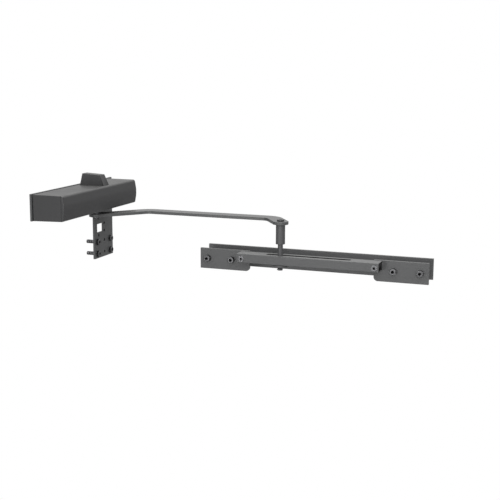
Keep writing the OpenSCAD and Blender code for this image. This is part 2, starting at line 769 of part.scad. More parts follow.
// The check valve in the piston: a seat with a passage, and its ball
module check_valve() {
    color(zinc) {
        difference() {
            bar_y(check_r, pinion_x, piston_y1 - check_len, piston_y1, axis_z);
            bar_y(1.5, pinion_x, piston_y1 - check_len - eps, piston_y1 + eps, axis_z);
            bar_y(2.6, pinion_x, piston_y1 - 5.6, piston_y1 - 0.8, axis_z);
        }
        translate([pinion_x, piston_y1 - 3.2, axis_z]) sphere(r = 2.2);
    }
}

module slide_shoe() {
    inner_w = rail_w - 2 * rail_wall;
    inner_h = rail_h - 2 * rail_wall;
    color(plastic_black) difference() {
        translate([pin_x - 12, rail_y0 + rail_wall + seat, rail_z0 + rail_wall + seat])
            cube([24, inner_w - 2 * seat, inner_h - 2 * seat]);
        bar_z(pin_d / 2 + running, pin_x, pin_y, rail_z0, rail_z1);
    }
}

module guide_rail() {
    color(steel_dark) difference() {
        translate([rail_x0, rail_y0, rail_z0]) cube([rail_len, rail_w, rail_h]);
        translate([rail_x0 - eps, rail_y0 + rail_wall, rail_z0 + rail_wall])
            cube([rail_len + 2 * eps, rail_w - 2 * rail_wall, rail_h - 2 * rail_wall]);
        translate([rail_mid - (slot_len - slot_w) / 2, pin_y - slot_w / 2, rail_z0 - eps])
            cube([slot_len - slot_w, slot_w, rail_h + 2 * eps]);
        for (s = [-1, 1])
            bar_z(slot_w / 2, rail_mid + s * (slot_len - slot_w) / 2, pin_y, rail_z0 - eps, rail_z1 + eps);
        for (x = rail_screw_x) {
            bar_y(rail_screw_d / 2 + 0.2, x, rail_y0 - eps, wing_y0 + eps, rail_screw_z);
            screw_cone(x, sink_gap);
        }
    }
}

rail_screw_x = [rail_x0 + rail_screw_in, rail_x1 - rail_screw_in];

// The sunk head of a rail screw, grown by a gap
module screw_cone(x, gap) {
    translate([x, rail_y0 - (gap > 0 ? 0.01 : 0), rail_screw_z]) rotate([-90, 0, 0])
        cylinder(r1 = rail_screw_d + gap, r2 = rail_screw_d / 2 + gap, h = sink_h);
}

module rail_spacers() {
    color(zinc) for (x = rail_screw_x) difference() {
        bar_y(rail_screw_z - rail_z0 - rail_wall - seat, x, rail_y0 + rail_wall + 0.1, wing_y0 - rail_wall - 0.1, rail_screw_z);
        bar_y(rail_screw_d / 2 + 0.2, x, rail_y0, wing_y0, rail_screw_z);
        screw_cone(x, sink_gap);
    }
}

module rail_screws() {
    color(zinc) for (x = rail_screw_x) difference() {
        union() {
            bar_y(rail_screw_d / 2, x, rail_y0, gate_y0 - 0.5, rail_screw_z);
            screw_cone(x, 0);
        }
        translate([x, rail_y0, rail_screw_z]) rotate([-90, 0, 0]) hex_socket(4, 2.4);
    }
}

// A wing plate: side is -1 for the plate nearer the post and 1 for the other
module wing_plate(side) {
    mid = (rail_x0 + rail_x1) / 2;
    x_in = side < 0 ? wing_in_x0 : wing_in_x1;
    x0 = side < 0 ? wing_out_x0 : wing_in_x1;
    corner = x_in + side * wing_r;
    color(steel_dark) difference() {
        union() {
            translate([x0, wing_y0, wing_low + wing_r]) cube([wing_len, wing_t, wing_h - wing_r]);
            translate([side < 0 ? x0 : corner, wing_y0, wing_low]) cube([wing_len - wing_r, wing_t, wing_h]);
            bar_y(wing_r, corner, wing_y0, gate_y0, wing_low + wing_r);
        }
        for (x = gate_bolt_x) if (sign(x - mid) == side)
            bar_y(gate_bolt_d / 2 + bolt_gap, x, wing_y0 - eps, gate_y0 + eps, bolt_z);
        for (x = rail_screw_x) if (sign(x - mid) == side)
            bar_y(rail_screw_d / 2 + thread_gap, x, wing_y0 - eps, gate_y0 + eps, rail_screw_z);
    }
}

module left_wing_plate() {
    wing_plate(-1);
}

module right_wing_plate() {
    wing_plate(1);
}

module gate_bolts() {
    color(zinc) for (x = gate_bolt_x) difference() {
        union() {
            bar_y(gate_head_r, x, wing_y0 - gate_head_h, wing_y0, bolt_z);
            bar_y(gate_bolt_d / 2 + shank_step, x, wing_y0 - eps, gate_y0, bolt_z);
            bar_y(gate_bolt_d / 2, x, wing_y0 - eps, gate_y1, bolt_z);
            bar_y(gate_bolt_d / 2 - thread_step, x, gate_y1 - eps, counter_y1 + washer_t + nut_h + bolt_past_nut, bolt_z);
        }
        translate([x, wing_y0 - gate_head_h, bolt_z]) rotate([-90, 0, 0])
            hex_socket(gate_bolt_d * 0.75, gate_head_h * 0.55);
    }
}

module gate_washers() {
    color(zinc) for (x = gate_bolt_x)
        ring_y(gate_bolt_d, gate_bolt_d / 2 + 0.2, x, counter_y1, counter_y1 + washer_t, bolt_z);
}

module gate_nuts() {
    y0 = counter_y1 + washer_t;
    color(zinc) for (x = gate_bolt_x) difference() {
        translate([x, y0, bolt_z]) rotate([-90, 0, 0])
            cylinder(r = gate_head_r / cos(30), h = nut_h, $fn = 6);
        bar_y(gate_bolt_d / 2 - thread_step + thread_gap, x, y0 - eps, y0 + nut_h + eps, bolt_z);
    }
}

module counter_plate() {
    color(steel_dark) difference() {
        translate([wing_out_x0, gate_y1, wing_low + counter_rise])
            cube([wing_out_x1 - wing_out_x0, wing_t, wing_h]);
        for (x = gate_bolt_x)
            bar_y(gate_bolt_d / 2 + bolt_gap, x, gate_y1 - eps, counter_y1 + eps, bolt_z);
    }
}

mounting_plate();
post_bolts();
housing();
housing_screws();
spring_end_plug();
valve_end_plug();
plug_seals();
upper_bearing();
lower_bearing();
shaft_seals();
closing_spring();
cover();
near_end_cap();
far_end_cap();
cover_screws();
pinion_hood();
closing_valve();
latch_valve();
pinion_shaft();
arm_bar();
arm_screw();
arm_washer();
pivot_pin();
pin_screw();
flange_washer();
split_pin();
piston();
piston_seals();
check_valve();
slide_shoe();
guide_rail();
rail_spacers();
rail_screws();
left_wing_plate();
right_wing_plate();
gate_bolts();
gate_washers();
gate_nuts();
counter_plate();
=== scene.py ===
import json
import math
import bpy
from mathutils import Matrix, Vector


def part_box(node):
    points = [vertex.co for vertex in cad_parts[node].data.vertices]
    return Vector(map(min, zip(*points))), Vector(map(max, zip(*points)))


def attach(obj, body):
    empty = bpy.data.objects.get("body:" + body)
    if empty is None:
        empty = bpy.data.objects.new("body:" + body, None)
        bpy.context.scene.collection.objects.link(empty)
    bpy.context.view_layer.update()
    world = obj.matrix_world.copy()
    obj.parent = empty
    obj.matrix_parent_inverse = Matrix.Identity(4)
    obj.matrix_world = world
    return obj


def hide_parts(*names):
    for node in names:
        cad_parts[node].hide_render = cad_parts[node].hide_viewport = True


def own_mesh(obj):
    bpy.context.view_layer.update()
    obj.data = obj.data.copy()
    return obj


bl_info = {
    "name": "Overhead closer with a slide rail",
    "version": (1, 0, 0),
    "blender": (4, 5, 0),
    "location": "3D View > Sidebar > Closer",
    "description": "Dresses an overhead closer: cover, plates, arm, guide rail and fasteners",
    "category": "Object",
}

import bmesh
import bpy
from bpy.props import FloatProperty, FloatVectorProperty, IntProperty, PointerProperty
from bpy.types import Operator, Panel, PropertyGroup
from mathutils import Matrix, Vector

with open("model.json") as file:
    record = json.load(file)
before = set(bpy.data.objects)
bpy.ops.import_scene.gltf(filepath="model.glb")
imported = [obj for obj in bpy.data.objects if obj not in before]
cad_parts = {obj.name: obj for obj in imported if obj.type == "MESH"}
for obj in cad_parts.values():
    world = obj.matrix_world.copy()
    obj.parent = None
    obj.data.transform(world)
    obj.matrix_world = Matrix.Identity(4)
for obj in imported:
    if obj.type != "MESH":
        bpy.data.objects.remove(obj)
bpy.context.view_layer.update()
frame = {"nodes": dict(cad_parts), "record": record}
BODY_OF = {node: body for body, nodes in frame["record"]["behaviour"]["bodies"].items()
           for node in nodes}
SLOT_OF = {part["node"]: part["material_slot"] for part in frame["record"]["subparts"]}

# Lengths are in metres and angles in radians. X runs along the rail, Y away from the camera.
X, Y, Z = 0, 1, 2
MERGE_GAP = 2e-6                # corners this near to each other are one corner
ON_FACE = 1e-5                  # a corner this near to a face lies on it
FLAT_ANGLE = math.radians(0.4)  # triangles that meet at less are one flat face
SIDE_SHADE = 0.6                 # painted shade on the sides of screw heads, where 1 is a socket's
CORNER_TO_FLAT = math.cos(math.pi / 6)  # a hexagon's half width over its corner radius
M8_RADIUS, M8_FLATS = 0.004, 0.013      # shank radius of the large screws, width of their nuts
NUT_BORE = 0.00395              # bore radius of the nuts, a little wider than the thread in them

# How a screw that is made pointing up is turned
TO_PLUS_X = (0.0, math.pi / 2, 0.0)
TO_MINUS_Y = (math.pi / 2, 0.0, 0.0)
TO_PLUS_Y = (-math.pi / 2, 0.0, 0.0)

# Screws: axis, the end of it that the head is at, head height, head radius, socket flats and
# socket depth. A countersunk head has no height.
HEADS = {
    "gate_bolts": (Y, -1, 0.008, 0.0065, 0.006, 0.0044),
    "post_bolts": (X, 1, 0.005, 0.0065, 0.005, 0.003),
    "rail_screws": (Y, -1, 0.0, 0.006, 0.004, 0.0024),
    "housing_screws": (X, -1, 0.0, 0.006, 0.004, 0.0022),
    "cover_screws": (Z, -1, 0.0022, 0.004, 0.0025, 0.0014),
    "arm_screw": (Z, -1, 0.0035, 0.00575, 0.005, 0.0018),
    "pin_screw": (Z, 1, 0.0035, 0.007, 0.005, 0.002),
}

# Pieces whose sharp edges are all rounded off alike: which of the edge settings, how much of
# it, and how many steps across the rounding
ROUNDINGS = {
    "mounting_plate": ("plate", 1.0, 3),
    "left_wing_plate": ("plate", 1.0, 3),
    "right_wing_plate": ("plate", 1.0, 3),
    "counter_plate": ("plate", 1.0, 3),
    "slide_shoe": ("plate", 1.0, 3),
    "arm_bar": ("arm", 1.0, 4),
    "arm_washer": ("turned", 0.5, 2),
    "pivot_pin": ("turned", 1.2, 3),
    "pin_screw": ("turned", 1.5, 2),
    "flange_washer": ("turned", 1.0, 3),
    "split_pin": ("turned", 0.8, 3),
    "rail_spacers": ("turned", 0.6, 2),
    "housing": ("turned", 2.0, 2),
    "spring_end_plug": ("turned", 1.0, 2),
    "valve_end_plug": ("turned", 1.0, 2),
    "upper_bearing": ("turned", 1.0, 2),
    "lower_bearing": ("turned", 1.0, 2),
    "plug_seals": ("turned", 0.7, 2),
    "shaft_seals": ("turned", 0.7, 2),
    "piston_seals": ("turned", 0.7, 2),
    "closing_valve": ("turned", 0.6, 2),
    "latch_valve": ("turned", 0.6, 2),
    "gate_washers": ("fine", 1.0, 2),
    "rail_screws": ("screw", 1.0, 2),
    "housing_screws": ("screw", 1.0, 2),
    "cover_screws": ("screw", 1.0, 2),
    "arm_screw": ("screw", 1.0, 2),
}

SENSOR_WIDTH = 36.0  # of the camera, in millimetres
# Soft lamps: place, side of the square, watts
LAMPS = {
    "key": ((1.4, -2.65, 0.95), 1.5, 49.0),
    "low": ((-0.35, -2.9, -0.05), 0.6, 10.5),
    "top": ((0.3, 0.5, 2.6), 2.4, 58.0),
}
CENTRE = Vector((0.3, -0.1, 0.05))  # about the object's middle, which the lamps aim at


# ---- sizes and colours that a user would change ----

def length(name, text, default, top=0.05):
    return FloatProperty(name=name, description=text, default=default, min=0.0, max=top,
                         precision=5, subtype="DISTANCE", unit="LENGTH")


def colour(name, text, default):
    return FloatVectorProperty(name=name, description=text, default=default, size=3,
                               min=0.0, max=1.0, subtype="COLOR")


def factor(name, text, default):
    return FloatProperty(name=name, description=text, default=default, min=0.0, max=1.0,
                         subtype="FACTOR")


def angle(name, text, degrees):
    return FloatProperty(name=name, description=text, default=math.radians(degrees),
                         subtype="ANGLE", unit="ROTATION")


def number(name, text, default, low, high, unit="NONE"):
    return FloatProperty(name=name, description=text, default=default, min=low, max=high,
                         unit=unit)


def count(name, text, default, low, high):
    return IntProperty(name=name, description=text, default=default, min=low, max=high)


class CloserFinish(PropertyGroup):
    cover: colour("Cover", "Paint of the cover, its end caps and the hood", (0.031, 0.031, 0.032))
    steel: colour("Plates and rail", "Powder coat of the plates, the rail and the arm",
                  (0.068, 0.069, 0.070))
    screws: colour("Screws", "Black zinc on the screws, nuts and washers", (0.16, 0.16, 0.165))
    pin: colour("Pin", "Dark zinc on the pivot pin and its washer", (0.066, 0.066, 0.068))
    dust: colour("Dust", "Dust that settles on upward faces", (0.33, 0.32, 0.30))
    dust_amount: factor("Dust amount", "How much dust lies on upward faces", 0.10)
    # Painted shade: the colour that sockets, screw-head sides, spare-hole walls and the rail's
    # inside are darkened towards
    hollow: colour("Hollows", "Oil and dirt in sockets, holes and slots", (0.006, 0.006, 0.006))
    grain: length("Coat grain", "Depth of the powder coat's grain", 0.00006, 0.001)
    cover_gloss: factor("Cover roughness", "Roughness of the cover's paint", 0.46)
    steel_gloss: factor("Coat roughness", "Roughness of the powder coat", 0.37)


class CloserEdges(PropertyGroup):
    plate: length("Plate edge", "Rounding of the plates' cut edges", 0.0006)
    arm: length("Arm edge", "Rounding of the arm bar's edges", 0.0011)
    rail: length("Rail corner", "Outer corner radius of the guide rail's tube", 0.0012)
    ridge: length("Cover ridge", "Rounding of the ridges between the cover's three faces", 0.003)
    cap: length("Cap rim", "Rounding of the end caps' outer rims", 0.0013)
    seam: length("Cap seam", "Width of the upright seam in the end caps", 0.0007)
    seam_in: length("Cap seam place", "Distance from the cover's front to the seam", 0.0062)
    hood: length("Hood edge", "Rounding of the hood's edges", 0.0009)
    turned: length("Turned edge", "Rounding of turned and cast pieces", 0.0004)
    screw: length("Small screw edge", "Rounding of the small screws' edges", 0.0003)
    rail_cut: length("Rail cut edge", "Rounding of the rail's cut edges", 0.00025)
    fine: length("Fine edge", "Trace of rounding on the cover's sheet and washers", 0.0002)


class CloserFasteners(PropertyGroup):
    flutes: count("Flutes", "Grooves round a cap screw's head", 36, 8, 60)
    flute_depth: length("Flute depth", "Depth of the grooves round a screw head", 0.00022, 0.002)
    thread_pitch: length("Thread pitch", "Distance between two turns of a thread", 0.00125, 0.01)
    head_edge: length("Head chamfer", "Chamfer on a screw head", 0.0007, 0.005)


class CloserSpring(PropertyGroup):
    coils: number("Coils", "Free turns of the closing spring", 11.5, 3, 30)
    wire: length("Wire", "Radius of the spring's wire", 0.0024)
    sides: count("Sides", "Sides of the spring wire's outline", 14, 6, 32)


class CloserStage(PropertyGroup):
    camera_place: FloatVectorProperty(
        name="Camera place", description="Where the camera stands",
        default=(1.0422, -1.9345, 0.3858), size=3, subtype="TRANSLATION")
    azimuth: angle("Azimuth", "How far the camera is turned to the left", 20.09)
    elevation: angle("Elevation", "How far the camera looks down", 10.272)
    roll: angle("Roll", "How far the camera leans", -0.2507)
    lens: number("Lens", "Focal length on a 36 mm sensor", 74.72, 10, 300, "CAMERA")
    floor_z: FloatProperty(name="Floor", description="Height of the floor", default=-0.34,
                           subtype="DISTANCE", unit="LENGTH")
    floor: colour("Floor colour", "Pale floor", (0.26, 0.26, 0.26))
    ambient: number("Ambient", "Light from the sides", 0.45, 0.0, 3.0)
    sky: number("Sky", "Light from above", 1.08, 0.0, 3.0)


class CloserSettings(PropertyGroup):
    finish: PointerProperty(type=CloserFinish, name="Finish", description="Colours and coats")
    edges: PointerProperty(type=CloserEdges, name="Edges", description="Roundings and chamfers")
    fasteners: PointerProperty(type=CloserFasteners, name="Fasteners",
                               description="Screw heads and threads")
    spring: PointerProperty(type=CloserSpring, name="Spring", description="The closing spring")
    stage: PointerProperty(type=CloserStage, name="Stage", description="Camera, floor and light")


def settings():
    return bpy.context.scene.closer_settings


BUILT = {}


def once(maker):
    """What a maker function returns, made the first time that it is asked for."""
    if maker not in BUILT:
        BUILT[maker] = maker()
    return BUILT[maker]


# ---- node trees ----

FLOAT, VECTOR, COLOR = "NodeSocketFloat", "NodeSocketVector", "NodeSocketColor"
GEOMETRY, MATERIAL = "NodeSocketGeometry", "NodeSocketMaterial"


class Nodes:
    """A node tree with short calls for its nodes, its links and its sums."""

    def __init__(self, tree):
        self.tree = tree

    def link(self, source, target):
        self.tree.links.new(source, target)

    def add(self, kind, wires=None, **options):
        """A new node, with its options set and its inputs linked or filled in."""
        node = self.tree.nodes.new(kind)
        for key, value in options.items():
            setattr(node, key, value)
        for key, value in (wires or {}).items():
            if isinstance(value, bpy.types.NodeSocket):
                self.link(value, node.inputs[key])
            else:
                node.inputs[key].default_value = value
        return node

    def out(self, kind, wires=None, **options):
        """The first output of a new node."""
        return self.add(kind, wires, **options).outputs[0]

    def maths(self, operation, first, second):
        return self.out("ShaderNodeMath", {0: first, 1: second}, operation=operation)

    def plus(self, first, second):
        return self.maths("ADD", first, second)

    def minus(self, first, second):
        return self.maths("SUBTRACT", first, second)

    def times(self, first, second):
        return self.maths("MULTIPLY", first, second)

    def over(self, first, second):
        return self.maths("DIVIDE", first, second)


def socket_kind(default):
    """The kind of socket for a default value; a kind's own name stands for one without a value."""
    if isinstance(default, str):
        return default
    if isinstance(default, int):
        return "NodeSocketInt"
    if isinstance(default, float):
        return FLOAT
    return COLOR if len(default) == 4 else VECTOR


def node_group(name, kind, inputs, outputs):
    """An empty group with its named sockets: its builder, its inputs and its outputs."""
    tree = bpy.data.node_groups.new(name, kind)
    for label, default in inputs.items():
        made = tree.interface.new_socket(label, in_out="INPUT", socket_type=socket_kind(default))
        if not isinstance(default, str):
            made.default_value = default
    for label, socket in outputs.items():
        tree.interface.new_socket(label, in_out="OUTPUT", socket_type=socket)
    build = Nodes(tree)
    return build, build.add("NodeGroupInput").outputs, build.add("NodeGroupOutput").inputs


def shader_group(name, inputs, outputs):
    return node_group(name, "ShaderNodeTree", inputs, outputs)


# ---- shader node groups ----

def fine_grain():
    """The small bumps of sprayed powder or paint."""
    b, gin, gout = shader_group("fine_grain", {"Vector": VECTOR, "Scale": 900.0},
                                {"Height": FLOAT, "Speck": FLOAT})
    fine = b.out("ShaderNodeTexNoise", {"Vector": gin["Vector"], "Scale": gin["Scale"],
                                        "Detail": 3.0, "Roughness": 0.5})
    cells = b.out("ShaderNodeTexVoronoi", {"Vector": gin["Vector"], "Scale": gin["Scale"],
                                           "Randomness": 1.0}, feature="SMOOTH_F1")
    speck = b.out("ShaderNodeMapRange", {"Value": fine, "From Min": 0.35, "From Max": 0.65})
    b.link(b.times(b.plus(fine, cells), 0.5), gout["Height"])
    b.link(speck, gout["Speck"])
    return b.tree


def uneven_tone():
    """Slow changes of tone over a surface, with a finer speckle on top."""
    b, gin, gout = shader_group("uneven_tone", {
        "Vector": VECTOR, "Color": (0.5, 0.5, 0.5, 1.0), "Spread": 0.15, "Size": 14.0,
        "Speck": 0.5, "Speck Amount": 0.05}, {"Color": COLOR, "Tone": FLOAT})
    slow = b.out("ShaderNodeTexNoise", {"Vector": gin["Vector"], "Scale": gin["Size"],
                                        "Detail": 4.0, "Roughness": 0.55})
    spread = b.times(b.minus(slow, 0.5), gin["Spread"])
    fine = b.times(b.minus(gin["Speck"], 0.5), gin["Speck Amount"])
    gain = b.plus(b.plus(spread, fine), 1.0)
    shade = b.out("ShaderNodeVectorMath", {0: gin["Color"], "Scale": gain}, operation="SCALE")
    b.link(shade, gout["Color"])
    b.link(slow, gout["Tone"])
    return b.tree


def settled_dust():
    """A thin, broken layer of dust on faces that look up."""
    b, gin, gout = shader_group("settled_dust", {
        "Vector": VECTOR, "Color": (0.1, 0.1, 0.1, 1.0), "Dust": (0.4, 0.4, 0.4, 1.0),
        "Amount": 0.1}, {"Color": COLOR})
    facing = b.add("ShaderNodeNewGeometry").outputs["Normal"]
    up = b.add("ShaderNodeSeparateXYZ", {0: facing}).outputs["Z"]
    upward = b.out("ShaderNodeMapRange", {"Value": up, "From Min": 0.35, "From Max": 0.95})
    patches = b.out("ShaderNodeTexNoise", {"Vector": gin["Vector"], "Scale": 38.0,
                                           "Detail": 6.0, "Roughness": 0.7})
    broken = b.out("ShaderNodeMapRange", {"Value": patches, "From Min": 0.3, "From Max": 0.75})
    mask = b.times(b.times(upward, broken), gin["Amount"])
    mixed = b.add("ShaderNodeMix", {"Factor": mask, "A": gin["Color"], "B": gin["Dust"]},
                  data_type="RGBA")
    b.link(mixed.outputs["Result"], gout["Color"])
    return b.tree


def dark_hollows():
    """Painted shade: darkens the colour towards a shade colour where the mesh marks a face as
    lying in a socket, a hole or a slot, or on a screw head's side.
    """
    b, gin, gout = shader_group("dark_hollows", {
        "Color": (0.1, 0.1, 0.1, 1.0), "Dirt": (0.01, 0.01, 0.01, 1.0)}, {"Color": COLOR})
    marked = b.add("ShaderNodeAttribute", attribute_name="hollow").outputs["Fac"]
    mixed = b.add("ShaderNodeMix", {"Factor": marked, "A": gin["Color"], "B": gin["Dirt"]},
                  data_type="RGBA")
    b.link(mixed.outputs["Result"], gout["Color"])
    return b.tree


def drawn_lines():
    """The fine lines that turning, drawing or grinding leaves on metal."""
    b, gin, gout = shader_group("drawn_lines", {
        "Vector": VECTOR, "Stretch": (1.0, 1.0, 1.0), "Scale": 500.0}, {"Lines": FLOAT})
    pulled = b.out("ShaderNodeVectorMath", {0: gin["Vector"], 1: gin["Stretch"]},
                   operation="MULTIPLY")
    lines = b.out("ShaderNodeTexNoise", {"Vector": pulled, "Scale": gin["Scale"],
                                         "Detail": 5.0, "Roughness": 0.6})
    b.link(lines, gout["Lines"])
    return b.tree


# ---- materials ----

def rgba(c):
    return (*c, 1.0)


def grouped(b, maker, wires):
    """The outputs of a shared shader group, placed with its own values."""
    return b.add("ShaderNodeGroup", wires, node_tree=once(maker)).outputs


def start_material(name, shown):
    """A new material with its finish shader linked; shown is its colour in the plain view."""
    mat = bpy.data.materials.new(name)
    mat.use_nodes = True
    mat.diffuse_color = rgba(shown)
    b = Nodes(mat.node_tree)
    b.tree.nodes.clear()
    out = b.add("ShaderNodeOutputMaterial")
    skin = b.add("ShaderNodeBsdfPrincipled")
    b.link(skin.outputs["BSDF"], out.inputs["Surface"])
    return mat, b, skin


def finish_skin(b, skin, shown, uneven, roughness, height, strength, depth):
    """Links the colour, darkened by painted shade in the hollows, the uneven roughness and the
    fine relief.
    """
    shade_colour = rgba(settings().finish.hollow)
    # Painted shade: the colour is mixed towards the shade colour by the mesh's marks
    shaded = grouped(b, dark_hollows, {"Color": shown, "Dirt": shade_colour})
    b.link(shaded["Color"], skin.inputs["Base Color"])
    smooth, rough = roughness
    worn = b.out("ShaderNodeMapRange", {"Value": uneven, "From Min": 0.3, "From Max": 0.7,
                                        "To Min": smooth, "To Max": rough})
    b.link(worn, skin.inputs["Roughness"])
    raised = b.out("ShaderNodeBump", {"Strength": strength, "Distance": depth, "Height": height})
    b.link(raised, skin.inputs["Normal"])


def coated(name, base, roughness, grain_scale, grain_depth, spread, dusty):
    """Powder coat or paint: fine bumps, slow changes of tone, a little dust on top."""
    f = settings().finish
    mat, b, skin = start_material(name, base)
    place = b.add("ShaderNodeTexCoord").outputs["Object"]
    grain = grouped(b, fine_grain, {"Vector": place, "Scale": grain_scale})
    tone = grouped(b, uneven_tone, {"Vector": place, "Color": rgba(base), "Spread": spread,
                                    "Speck": grain["Speck"], "Speck Amount": 0.10})
    shown = tone["Color"]
    if dusty:
        shown = grouped(b, settled_dust, {"Vector": place, "Color": shown, "Dust": rgba(f.dust),
                                          "Amount": f.dust_amount})["Color"]
    finish_skin(b, skin, shown, tone["Tone"], (roughness - 0.04, roughness + 0.05),
                grain["Height"], 1.0, grain_depth)
    return mat


def bare_metal(name, base, roughness, stretch, metallic):
    """Turned, drawn or ground metal with fine lines along the way it was worked."""
    mat, b, skin = start_material(name, base)
    place = b.add("ShaderNodeTexCoord").outputs["Object"]
    lines = grouped(b, drawn_lines, {"Vector": place, "Stretch": stretch, "Scale": 500.0})["Lines"]
    tone = grouped(b, uneven_tone, {"Vector": place, "Color": rgba(base), "Spread": 0.25,
                                    "Size": 60.0, "Speck": lines, "Speck Amount": 0.35})
    finish_skin(b, skin, tone["Color"], lines, (roughness - 0.07, roughness + 0.09),
                lines, 0.6, 0.00001)
    skin.inputs["Metallic"].default_value = metallic
    return mat


def make_materials():
    """Every finish by the name of its slot."""
    f = settings().finish
    # Colour, roughness, grains per metre, grain depth, change of tone, dust
    coats = {
        "cover_paint": (f.cover, f.cover_gloss, 1500.0, f.grain * 0.5, 0.10, True),
        "coated_steel": (f.steel, f.steel_gloss, 1100.0, f.grain, 0.14, True),
        "cast_body": ((0.42, 0.43, 0.44), 0.55, 420.0, 0.00012, 0.16, False),
        "seals": ((0.022, 0.022, 0.022), 0.68, 700.0, 0.00003, 0.12, False),
        "slide_plastic": ((0.028, 0.028, 0.029), 0.42, 900.0, 0.00002, 0.10, False),
    }
    # Colour, roughness, how close the lines lie along each axis, share of metal
    metals = {
        "bolts": (f.screws, 0.27, (1.0, 1.0, 1.0), 1.0),
        "pin_steel": (f.pin, 0.40, (1.0, 1.0, 14.0), 0.1),
        "plugs": ((0.46, 0.46, 0.47), 0.32, (14.0, 1.0, 14.0), 1.0),
        "bearings": ((0.58, 0.58, 0.60), 0.24, (1.0, 1.0, 12.0), 1.0),
        "spring_steel": ((0.25, 0.25, 0.26), 0.34, (1.0, 6.0, 1.0), 1.0),
        "valves": ((0.60, 0.46, 0.22), 0.30, (12.0, 1.0, 12.0), 1.0),
        "hard_steel": ((0.10, 0.10, 0.105), 0.50, (1.0, 1.0, 10.0), 1.0),
    }
    made = {name: coated(name, *values) for name, values in coats.items()}
    made.update({name: bare_metal(name, *values) for name, values in metals.items()})
    return made


def finish_of(node):
    return once(make_materials)[SLOT_OF[node]]


# ---- meshes ----

def loose_copy(node):
    """A bmesh copy of a solid with its doubles merged."""
    bm = bmesh.new()
    bm.from_mesh(frame["nodes"][node].data)
    bmesh.ops.remove_doubles(bm, verts=bm.verts, dist=MERGE_GAP)
    return bm


def merged(node):
    """A bmesh copy of a solid with its doubles merged and its flat faces joined."""
    bm = loose_copy(node)
    bmesh.ops.dissolve_limit(bm, angle_limit=FLAT_ANGLE, verts=bm.verts, edges=bm.edges,
                             delimit=set())
    bm.normal_update()
    return bm


def sharp_edges(bm, degrees=30.0, only=None):
    """Edges between two faces that meet at more than an angle, and that pass the test only."""
    limit = math.radians(degrees)
    return [e for e in bm.edges if len(e.link_faces) == 2 and e.calc_face_angle(0.0) > limit
            and (only is None or only(e))]


def round_off(bm, edges, width, segments):
    if edges:
        bmesh.ops.bevel(bm, geom=edges, offset=width, offset_type="OFFSET", segments=segments,
                        profile=0.5, affect="EDGES", clamp_overlap=True, loop_slide=True)
        bm.normal_update()


def linked_object(name, mesh):
    obj = bpy.data.objects.new(name, mesh)
    bpy.context.scene.collection.objects.link(obj)
    return obj


def filled_mesh(name, bm):
    mesh = bpy.data.meshes.new(name)
    bm.to_mesh(mesh)
    bm.free()
    return mesh


def smooth(mesh, degrees):
    """Smooth shading, except across the edges that meet at more than an angle."""
    mesh.shade_smooth()
    mesh.set_sharp_from_angle(angle=math.radians(degrees))


def made_plain(obj):
    """Applies an object's modifiers, so that a plain mesh is left."""
    depsgraph = bpy.context.evaluated_depsgraph_get()
    plain = bpy.data.meshes.new_from_object(obj.evaluated_get(depsgraph))
    plain.name = obj.name
    obj.modifiers.clear()
    obj.data = plain
    return obj


def evened(obj):
    """Applies an object's modifiers and keeps its flats evenly lit beside their rounded edges."""
    obj.modifiers.new("even", "WEIGHTED_NORMAL").keep_sharp = True
    return made_plain(obj)


def piece(name, bm, smooth_angle=40.0):
    """A finished object from a bmesh."""
    mesh = filled_mesh(name, bm)
    smooth(mesh, smooth_angle)
    return evened(linked_object(name, mesh))


def carve(obj, centre, size):
    """Cuts a box-shaped groove into an object."""
    bm = bmesh.new()
    place = Matrix.Translation(Vector(centre)) @ Matrix.Diagonal((*size, 1.0))
    bmesh.ops.create_cube(bm, size=1.0, matrix=place)
    mesh = filled_mesh("groove", bm)
    tool = linked_object("groove", mesh)
    cut = obj.modifiers.new("groove", "BOOLEAN")
    cut.operation, cut.solver, cut.object = "DIFFERENCE", "EXACT", tool
    evened(obj)
    bpy.data.objects.remove(tool)
    bpy.data.meshes.remove(mesh)


def hand_over(obj, node):
    """The object takes the place, the body and the finish of a solid."""
    obj.data.materials.clear()
    obj.data.materials.append(finish_of(node))
    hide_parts(node)
    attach(obj, BODY_OF[node])
    return obj


def refinished(*nodes):
    """Solids whose shape stays get their finish."""
    for node in nodes:
        slots = frame["nodes"][node].data.materials
        if len(slots) == 0:
            slots.append(finish_of(node))
        for i in range(len(slots)):
            slots[i] = finish_of(node)


def islands(node):
    """(low corner, high corner) of each separate solid in a node, from left to right."""
    bm = loose_copy(node)
    left, found = set(bm.verts), []
    while left:
        start = left.pop()
        group, reached = [start], [start]
        while reached:
            v = reached.pop()
            for link in v.link_edges:
                other = link.other_vert(v)
                if other in left:
                    left.discard(other)
                    reached.append(other)
                    group.append(other)
        found.append((Vector([min(v.co[i] for v in group) for i in (X, Y, Z)]),
                      Vector([max(v.co[i] for v in group) for i in (X, Y, Z)])))
    bm.free()
    return sorted(found, key=lambda box: tuple(round(c, 4) for c in box[0]))


# ---- marks for the painted shade in hollows ----

def mark_painted_shade(obj, amount):
    """Notes on each face how much painted shade it gets for lying in a socket, a hole or a slot,
    from 0 to 1.
    """
    marks = obj.data.attributes.new("hollow", "FLOAT", "FACE")
    for face in obj.data.polygons:
        marks.data[face.index].value = amount(face)


def mark_sockets(obj, node):
    """Marks the hexagon sockets, and less strongly the sides, of a node's screw heads for painted
    shade.
    """
    axis, side, head, head_radius, flats, depth = HEADS[node]
    boxes = islands(node)
    across = [i for i in (X, Y, Z) if i != axis]
    socket_reach = flats * 0.62
    side_from, side_to = head_radius * 0.93, head_radius * 1.05
    shadow_from = head * 0.15
    floor_reach = depth + 0.0002

    def amount(face):
        for low, high in boxes:
            off = math.hypot(*(face.center[i] - (low[i] + high[i]) / 2 for i in across))
            sunk = face.center[axis] - low[axis] if side < 0 else high[axis] - face.center[axis]
            if off < socket_reach and ON_FACE < sunk < floor_reach:
                return 1.0
            if side_from < off < side_to and shadow_from < sunk < head:
                return SIDE_SHADE
        return 0.0

    mark_painted_shade(obj, amount)
    return obj


